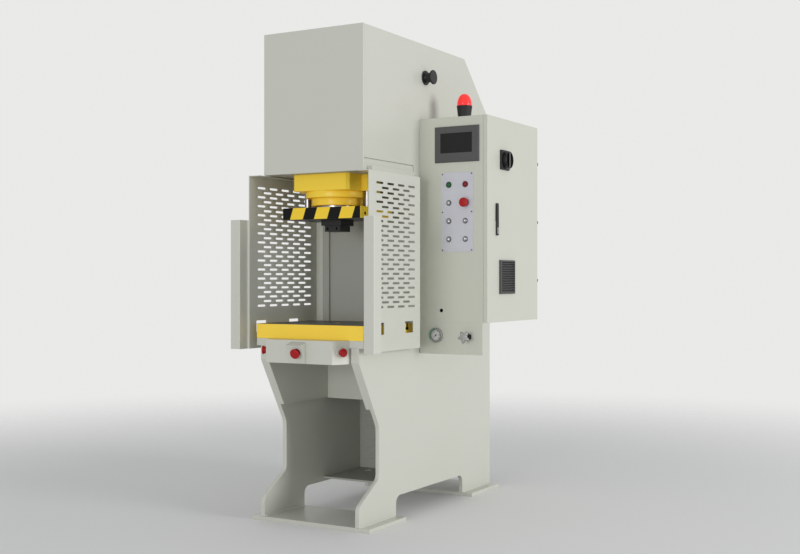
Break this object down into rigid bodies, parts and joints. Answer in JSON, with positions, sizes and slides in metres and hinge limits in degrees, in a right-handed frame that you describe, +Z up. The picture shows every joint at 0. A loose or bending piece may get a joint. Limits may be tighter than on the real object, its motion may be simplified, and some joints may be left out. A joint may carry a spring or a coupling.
{
  "type": "hydraulic press",
  "caption": "C-frame hydraulic press with guided ram and slotted table, perforated side guards, two-hand control box, electric cabinet with hinged door and pressure gauge.",
  "frame": {"origin": "on the floor, in the middle of the four anchor holes", "axes": "+Z up, the tallest way; +Y from the operator's side to the back; +X to the side of the electric cabinet"},
  "size_m": [0.937, 1.3114, 2.01],
  "materials": {
    "paint": "gloss",
    "yellow": "gloss",
    "steel": "ground",
    "dark_steel": "blackened",
    "chrome": "polished",
    "black_plastic": "matte",
    "grey_plastic": "satin",
    "screen": "gloss",
    "red_plastic": "gloss",
    "lamp": "gloss",
    "beacon": "translucent gloss",
    "panel": "satin",
    "brass": "satin"
  },
  "bodies": {
    "frame": {"side_plate_left": "paint", "side_plate_right": "paint", "doubler_plates": "paint", "foot_plates": "paint", "knee_plate": "paint", "table_support_plate": "paint", "throat_plate": "paint", "head_front_plate": "paint", "head_cover": "paint", "rear_lower_cover": "paint", "louvre_panel": "paint", "bottom_shelf": "paint", "guard_left": "paint", "guard_right": "paint", "guard_hangers": "paint", "curtain_posts": "paint", "control_box": "paint", "cabinet_shell": "paint", "gauge_panel": "paint", "oil_tank": "paint", "pump_motor": "paint", "table_plate": "yellow", "guide_block": "yellow", "cylinder_flange": "yellow", "gland_ring": "yellow", "head_bottom_plate": "steel", "cylinder_barrel": "steel", "valve_manifold": "steel", "control_gear_panel": "steel", "gauge_case": "chrome", "button_collars": "chrome", "lifting_bollards": "dark_steel", "valve_body": "black_plastic", "hmi_bezel": "grey_plastic", "beacon_base": "grey_plastic", "hmi_screen": "screen", "button_panel": "panel", "pilot_lamps": "lamp", "beacon_dome": "beacon", "guide_bushes": "brass"},
    "ram": {"slide_plate": "yellow", "die_holder": "dark_steel", "piston_rod": "chrome", "guide_rods": "chrome"},
    "door": {"cabinet_door": "paint", "switch_base": "grey_plastic", "fan_grille": "grey_plastic"},
    "main_switch": {"rotary_knob": "black_plastic"},
    "latch": {"latch_lever": "dark_steel"},
    "panel_stop": {"panel_estop": "red_plastic"},
    "box_stop": {"box_estop": "red_plastic"},
    "left_palm": {"palm_button_left": "red_plastic"},
    "right_palm": {"palm_button_right": "red_plastic"},
    "needle": {"gauge_needle": "black_plastic"},
    "valve_knob": {"star_knob": "chrome"},
    "button_1": {"push_button_1": "chrome"},
    "button_2": {"push_button_2": "chrome"},
    "button_3": {"push_button_3": "chrome"},
    "button_4": {"push_button_4": "chrome"},
    "button_5": {"push_button_5": "chrome"}
  },
  "joints": [
    {"name": "ram_slide", "type": "slide", "parent": "frame", "child": "ram", "axis": [0, 0, -1], "range_m": [0, 0.25]},
    {"name": "door_hinge", "type": "hinge", "parent": "frame", "child": "door", "pos_m": [0.552, 0.42575, 1.24735], "axis": [0, 0, 1], "range_deg": [0, 120]},
    {"name": "main_switch_turn", "type": "hinge", "parent": "door", "child": "main_switch", "pos_m": [0.5756, 0.06025, 1.504], "axis": [1, 0, 0], "range_deg": [0, 90]},
    {"name": "latch_swing", "type": "hinge", "parent": "door", "child": "latch", "pos_m": [0.566, -0.01695, 1.204], "axis": [1, 0, 0], "range_deg": [-90, 0]},
    {"name": "panel_stop_press", "type": "slide", "parent": "frame", "child": "panel_stop", "axis": [0, 1, 0], "range_m": [0, 0.005]},
    {"name": "box_stop_press", "type": "slide", "parent": "frame", "child": "box_stop", "axis": [0, 0.9432, 0.3321], "range_m": [0, 0.005]},
    {"name": "left_palm_press", "type": "slide", "parent": "frame", "child": "left_palm", "axis": [0.8994, 0.4372, 0], "range_m": [0, 0.005], "stiffness_N_per_m": 800, "springref_m": -0.002},
    {"name": "right_palm_press", "type": "slide", "parent": "frame", "child": "right_palm", "axis": [-0.8994, 0.4372, 0], "range_m": [0, 0.005], "stiffness_N_per_m": 800, "springref_m": -0.002},
    {"name": "needle_turn", "type": "hinge", "parent": "frame", "child": "needle", "pos_m": [0.3213, -0.11075, 0.7575], "axis": [0, 1, 0], "range_deg": [0, 270], "stiffness_Nm_per_rad": 0.0005, "springref_deg": -17.19},
    {"name": "valve_turn", "type": "hinge", "parent": "frame", "child": "valve_knob", "pos_m": [0.475, -0.14275, 0.754], "axis": [0, 1, 0], "continuous": true},
    {"name": "button_1_press", "type": "slide", "parent": "frame", "child": "button_1", "axis": [0, 1, 0], "range_m": [0, 0.003], "stiffness_N_per_m": 800, "springref_m": -0.002},
    {"name": "button_2_press", "type": "slide", "parent": "frame", "child": "button_2", "axis": [0, 1, 0], "range_m": [0, 0.003], "stiffness_N_per_m": 800, "springref_m": -0.002},
    {"name": "button_3_press", "type": "slide", "parent": "frame", "child": "button_3", "axis": [0, 1, 0], "range_m": [0, 0.003], "stiffness_N_per_m": 800, "springref_m": -0.002},
    {"name": "button_4_press", "type": "slide", "parent": "frame", "child": "button_4", "axis": [0, 1, 0], "range_m": [0, 0.003], "stiffness_N_per_m": 800, "springref_m": -0.002},
    {"name": "button_5_press", "type": "slide", "parent": "frame", "child": "button_5", "axis": [0, 1, 0], "range_m": [0, 0.003], "stiffness_N_per_m": 800, "springref_m": -0.002}
  ]
}
